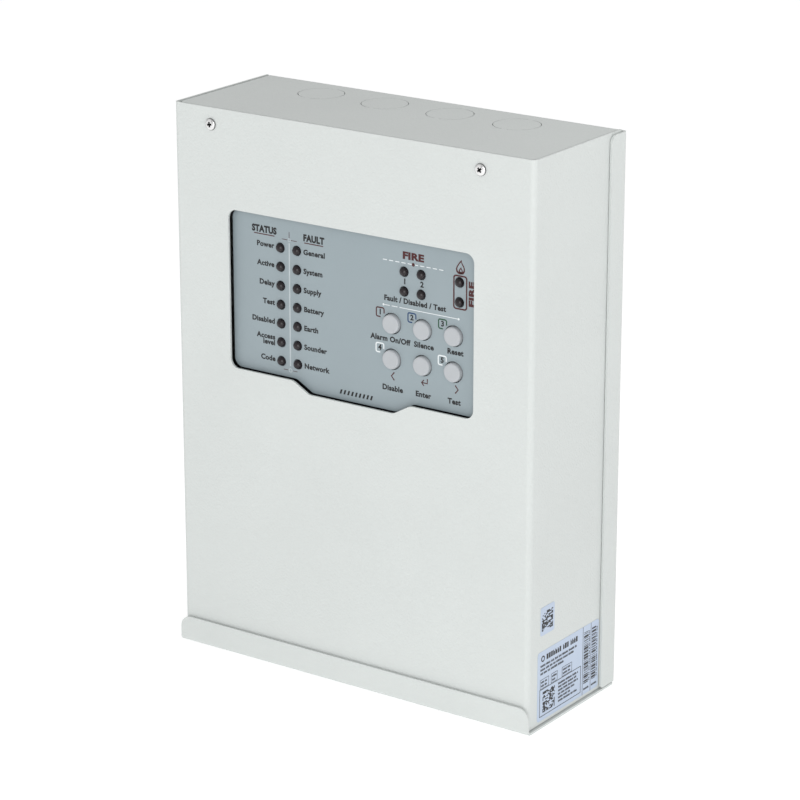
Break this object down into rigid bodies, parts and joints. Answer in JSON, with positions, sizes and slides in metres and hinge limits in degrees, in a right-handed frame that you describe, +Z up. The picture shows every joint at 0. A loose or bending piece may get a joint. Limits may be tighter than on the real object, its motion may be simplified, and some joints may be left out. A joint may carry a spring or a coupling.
{
  "type": "fire alarm control panel",
  "caption": "Shallow wall-mounted steel fire alarm panel with a windowed drop-front cover, recessed lamp and key display, control boards and standby battery.",
  "frame": {"origin": "bottom centre of the bounding box: midway across the case, midway between the wall face and the screw heads, on the underside of the floor sheet", "axes": "+Z up along the tallest side, +Y into the wall, the display and cover face -Y, +X to the reader's right"},
  "size_m": [0.225, 0.0848, 0.3],
  "materials": {
    "case_paint": "pale grey satin powder coat with a fine orange-peel",
    "screw_bright": "bright plated",
    "zinc": "zinc plated sheet and fasteners",
    "label_film": "pale blue printed film",
    "fascia_plastic": "moulded grey ABS",
    "overlay_print": "printed polyester film, fine matt",
    "led_lens": "smoked epoxy",
    "key_plastic": "light grey moulded key",
    "pcb": "green solder mask",
    "pcb_black": "black solder mask",
    "black_plastic": "moulded black",
    "nylon": "natural nylon",
    "ribbon_sheath": "grey PVC ribbon",
    "brass_parts": "plain brass",
    "terminal_green": "green polyamide",
    "terminal_grey": "grey polyamide",
    "fuse_glass": "clear glass tube with plated caps",
    "relay_case": "blue moulded case",
    "cap_sleeve": "dark shrink sleeve",
    "heatsink_black": "black anodised extrusion",
    "lamination": "varnished laminations",
    "coil_tape": "yellow polyester winding tape",
    "lead_yellow": "yellow PVC lead",
    "battery_abs": "black ABS case",
    "tinned": "tinned tab",
    "lead_red": "red PVC lead",
    "lead_black": "black PVC lead",
    "lead_green": "green and yellow PVC lead"
  },
  "bodies": {
    "base": {"base_tray": "case_paint", "knockout_blanks": "case_paint", "clinch_nuts": "zinc", "display_bracket": "zinc", "bracket_screws": "zinc", "fascia_plate": "fascia_plastic", "overlay": "overlay_print", "status_leds": "led_lens", "zone_leds": "led_lens", "fire_leds": "led_lens", "display_pcb": "pcb_black", "display_spacers": "nylon", "display_screws": "zinc", "tact_switches": "black_plastic", "display_header": "black_plastic", "ribbon_cable": "ribbon_sheath", "main_header": "black_plastic", "main_pcb": "pcb", "board_standoffs": "brass_parts", "board_screws": "zinc", "zone_terminals": "terminal_green", "sounder_terminals": "terminal_green", "mains_terminal": "terminal_grey", "terminal_screws": "zinc", "fuse_holder": "black_plastic", "fuse": "fuse_glass", "relays": "relay_case", "processor": "black_plastic", "capacitors": "cap_sleeve", "heatsink": "heatsink_black", "regulator": "black_plastic", "buzzer": "black_plastic", "battery_connector": "nylon", "supply_socket": "nylon", "transformer_core": "lamination", "transformer_coil": "coil_tape", "transformer_frame": "zinc", "transformer_screws": "zinc", "transformer_leads": "lead_yellow", "battery_case": "battery_abs", "battery_terminals": "tinned", "faston_connectors": "nylon", "battery_strap": "zinc", "strap_screw": "zinc", "battery_lead_red": "lead_red", "battery_lead_black": "lead_black", "earth_stud": "brass_parts", "earth_nuts": "brass_parts", "earth_lead": "lead_green"},
    "cover": {"cover": "case_paint", "rating_label": "label_film", "inspection_label": "label_film"},
    "screw_left": {"cover_screw_left": "screw_bright"},
    "screw_right": {"cover_screw_right": "screw_bright"},
    "key_1": {"button_1": "key_plastic"},
    "key_2": {"button_2": "key_plastic"},
    "key_3": {"button_3": "key_plastic"},
    "key_4": {"button_4": "key_plastic"},
    "key_5": {"button_5": "key_plastic"},
    "key_6": {"button_6": "key_plastic"}
  },
  "joints": [
    {"name": "cover_tilt", "type": "hinge", "parent": "base", "child": "cover", "pos_m": [0, -0.0406, 0.015], "axis": [1, 0, 0], "range_deg": [0, 70]},
    {"name": "screw_left_out", "type": "slide", "parent": "cover", "child": "screw_left", "axis": [0, -1, 0], "range_m": [0, 0.009]},
    {"name": "screw_right_out", "type": "slide", "parent": "cover", "child": "screw_right", "axis": [0, -1, 0], "range_m": [0, 0.009]},
    {"name": "key_1_press", "type": "slide", "parent": "base", "child": "key_1", "axis": [0, 1, 0], "range_m": [0, 0.0006], "stiffness_N_per_m": 2500, "springref_m": -0.0001},
    {"name": "key_2_press", "type": "slide", "parent": "base", "child": "key_2", "axis": [0, 1, 0], "range_m": [0, 0.0006], "stiffness_N_per_m": 2500, "springref_m": -0.0001},
    {"name": "key_3_press", "type": "slide", "parent": "base", "child": "key_3", "axis": [0, 1, 0], "range_m": [0, 0.0006], "stiffness_N_per_m": 2500, "springref_m": -0.0001},
    {"name": "key_4_press", "type": "slide", "parent": "base", "child": "key_4", "axis": [0, 1, 0], "range_m": [0, 0.0006], "stiffness_N_per_m": 2500, "springref_m": -0.0001},
    {"name": "key_5_press", "type": "slide", "parent": "base", "child": "key_5", "axis": [0, 1, 0], "range_m": [0, 0.0006], "stiffness_N_per_m": 2500, "springref_m": -0.0001},
    {"name": "key_6_press", "type": "slide", "parent": "base", "child": "key_6", "axis": [0, 1, 0], "range_m": [0, 0.0006], "stiffness_N_per_m": 2500, "springref_m": -0.0001}
  ]
}
